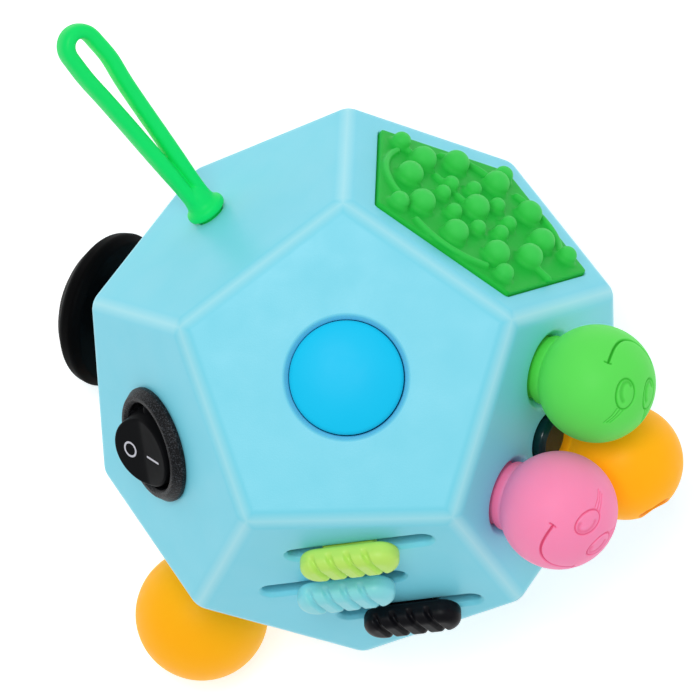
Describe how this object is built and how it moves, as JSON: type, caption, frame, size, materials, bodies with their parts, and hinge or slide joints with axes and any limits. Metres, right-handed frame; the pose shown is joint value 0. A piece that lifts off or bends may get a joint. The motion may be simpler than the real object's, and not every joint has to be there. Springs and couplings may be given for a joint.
{
  "type": "fidget toy",
  "caption": "Twelve-sided fidget toy with a finger toy on each face: button, rocker, sliders, silicone balls, dial, thumb gears, roller, joystick, bump pad and lanyard loop.",
  "frame": {"origin": "centre of the back face, which the toy stands on", "axes": "+Z from the back face to the push-button face; +Y towards the edge between the bump pad's and the lanyard's faces; +X towards the three small balls"},
  "size_m": [0.0846, 0.0884, 0.0619],
  "materials": {
    "body": "satin moulded ABS, pale sky blue",
    "button": "smooth bright sky blue",
    "pad": "satin green silicone",
    "lanyard": "satin bright green silicone",
    "ball_green": "matt green silicone",
    "ball_pink": "matt pink silicone",
    "ball_amber": "matt amber silicone",
    "slider_lime": "satin lime",
    "slider_aqua": "satin aqua",
    "black_plastic": "fine-textured black",
    "black_rubber": "matt black rubber",
    "dark_plastic": "dark teal, satin",
    "inner_plastic": "natural white moulding",
    "steel": "bright steel"
  },
  "bodies": {
    "root": {"front_shell": "body", "rear_shell": "body", "button_spring": "steel", "button_housing": "inner_plastic", "lanyard_collar": "lanyard", "massage_pad": "pad", "ball_green_plug": "ball_green", "ball_pink_plug": "ball_pink", "ball_amber_plug": "ball_amber", "ball_retainer": "dark_plastic", "slider_back_plate": "inner_plastic", "slider_screw_1": "steel", "slider_screw_2": "steel", "rocker_housing": "black_plastic", "joystick_housing": "inner_plastic", "joystick_spring": "steel", "bounce_ball_plug": "ball_amber", "dial_spring": "steel", "dial_housing": "inner_plastic", "gear_cradle": "inner_plastic", "gear_axle": "steel", "roller_socket": "inner_plastic", "thumb_pad": "dark_plastic"},
    "button": {"button_cap": "button"},
    "lanyard": {"lanyard_loop": "lanyard"},
    "ball_green": {"ball_green": "ball_green"},
    "ball_pink": {"ball_pink": "ball_pink"},
    "ball_amber": {"ball_amber": "ball_amber"},
    "slider_lime": {"slider_lime": "slider_lime", "slider_lime_runner": "inner_plastic"},
    "slider_aqua": {"slider_aqua": "slider_aqua", "slider_aqua_runner": "inner_plastic"},
    "slider_black": {"slider_black": "black_plastic", "slider_black_runner": "inner_plastic"},
    "rocker": {"rocker_paddle": "black_plastic", "rocker_plunger": "steel", "rocker_spring": "steel"},
    "joystick_ring": {"joystick_gimbal": "inner_plastic"},
    "joystick": {"joystick_stick": "inner_plastic", "joystick_cap": "black_rubber"},
    "bounce_ball": {"bounce_ball": "ball_amber"},
    "dial": {"dial_knob": "black_plastic", "dial_hub": "inner_plastic", "dial_screw": "steel"},
    "gear_1": {"gear_1": "black_plastic"},
    "gear_2": {"gear_2": "black_plastic"},
    "gear_3": {"gear_3": "black_plastic"},
    "roller": {"roller_ball": "steel"}
  },
  "joints": [
    {"name": "button_press", "type": "slide", "parent": "root", "child": "button", "axis": [0, 0, -1], "range_m": [0, 0.0018], "stiffness_N_per_m": 400, "deforming": ["button_spring"]},
    {"name": "lanyard_bend", "type": "hinge", "parent": "root", "child": "lanyard", "pos_m": [-0.02069, 0.02551, 0.04065], "axis": [0.5237, -0.1389, 0.8405], "range_deg": [-40, 40], "stiffness_Nm_per_rad": 0.01},
    {"name": "ball_green_lean", "type": "hinge", "parent": "root", "child": "ball_green", "pos_m": [0.02597, 0.00068, 0.04811], "axis": [-0.5229, -0.3558, 0.7746], "range_deg": [-4, 14], "stiffness_Nm_per_rad": 0.06},
    {"name": "ball_pink_lean", "type": "hinge", "parent": "root", "child": "ball_pink", "pos_m": [0.02067, -0.01563, 0.04811], "axis": [0.2138, -0.5952, -0.7746], "range_deg": [-4, 14], "stiffness_Nm_per_rad": 0.06},
    {"name": "ball_amber_lean", "type": "hinge", "parent": "root", "child": "ball_amber", "pos_m": [0.02963, -0.00952, 0.03483], "axis": [0.309, 0.9511, 0], "range_deg": [-4, 14], "stiffness_Nm_per_rad": 0.06},
    {"name": "slider_lime_slide", "type": "slide", "parent": "root", "child": "slider_lime", "axis": [0.9736, 0.1021, 0.2042], "range_m": [-0.0042, 0.0068]},
    {"name": "slider_aqua_slide", "type": "slide", "parent": "root", "child": "slider_aqua", "axis": [0.9736, 0.1021, 0.2042], "range_m": [-0.0073, 0.0037]},
    {"name": "slider_black_slide", "type": "slide", "parent": "root", "child": "slider_black", "axis": [0.9736, 0.1021, 0.2042], "range_m": [-0.0059, 0.0051]},
    {"name": "rocker_tilt", "type": "hinge", "parent": "root", "child": "rocker", "pos_m": [-0.02618, -0.00798, 0.04368], "axis": [-0.1003, 0.9204, 0.378], "range_deg": [-19.6, 0]},
    {"name": "joystick_pitch", "type": "hinge", "parent": "root", "child": "joystick_ring", "pos_m": [-0.02042, 0.00663, 0.01927], "axis": [-0.309, -0.9511, 0], "range_deg": [-14, 14], "stiffness_Nm_per_rad": 0.15},
    {"name": "joystick_roll", "type": "hinge", "parent": "joystick_ring", "child": "joystick", "pos_m": [-0.02042, 0.00663, 0.01927], "axis": [-0.4253, 0.1382, 0.8944], "range_deg": [-14, 14], "stiffness_Nm_per_rad": 0.15},
    {"name": "bounce_ball_lean", "type": "hinge", "parent": "root", "child": "bounce_ball", "pos_m": [-0.01577, -0.02171, 0.01658], "axis": [-0.2629, -0.3618, 0.8944], "range_deg": [-15, 15], "stiffness_Nm_per_rad": 0.15},
    {"name": "dial_spin", "type": "hinge", "parent": "root", "child": "dial", "pos_m": [0, 0.02683, 0.01658], "axis": [0, 0.8944, -0.4472], "continuous": true},
    {"name": "gear_1_spin", "type": "hinge", "parent": "root", "child": "gear_1", "pos_m": [0.02229, 0.00724, 0.01828], "axis": [-0.309, 0.9511, 0], "continuous": true},
    {"name": "gear_2_spin", "type": "hinge", "parent": "root", "child": "gear_2", "pos_m": [0.02229, 0.00724, 0.01828], "axis": [-0.309, 0.9511, 0], "continuous": true},
    {"name": "gear_3_spin", "type": "hinge", "parent": "root", "child": "gear_3", "pos_m": [0.02229, 0.00724, 0.01828], "axis": [-0.309, 0.9511, 0], "continuous": true},
    {"name": "roller_spin", "type": "hinge", "parent": "root", "child": "roller", "pos_m": [0.01462, -0.02012, 0.01757], "axis": [0.809, 0.5878, 0], "continuous": true}
  ]
}
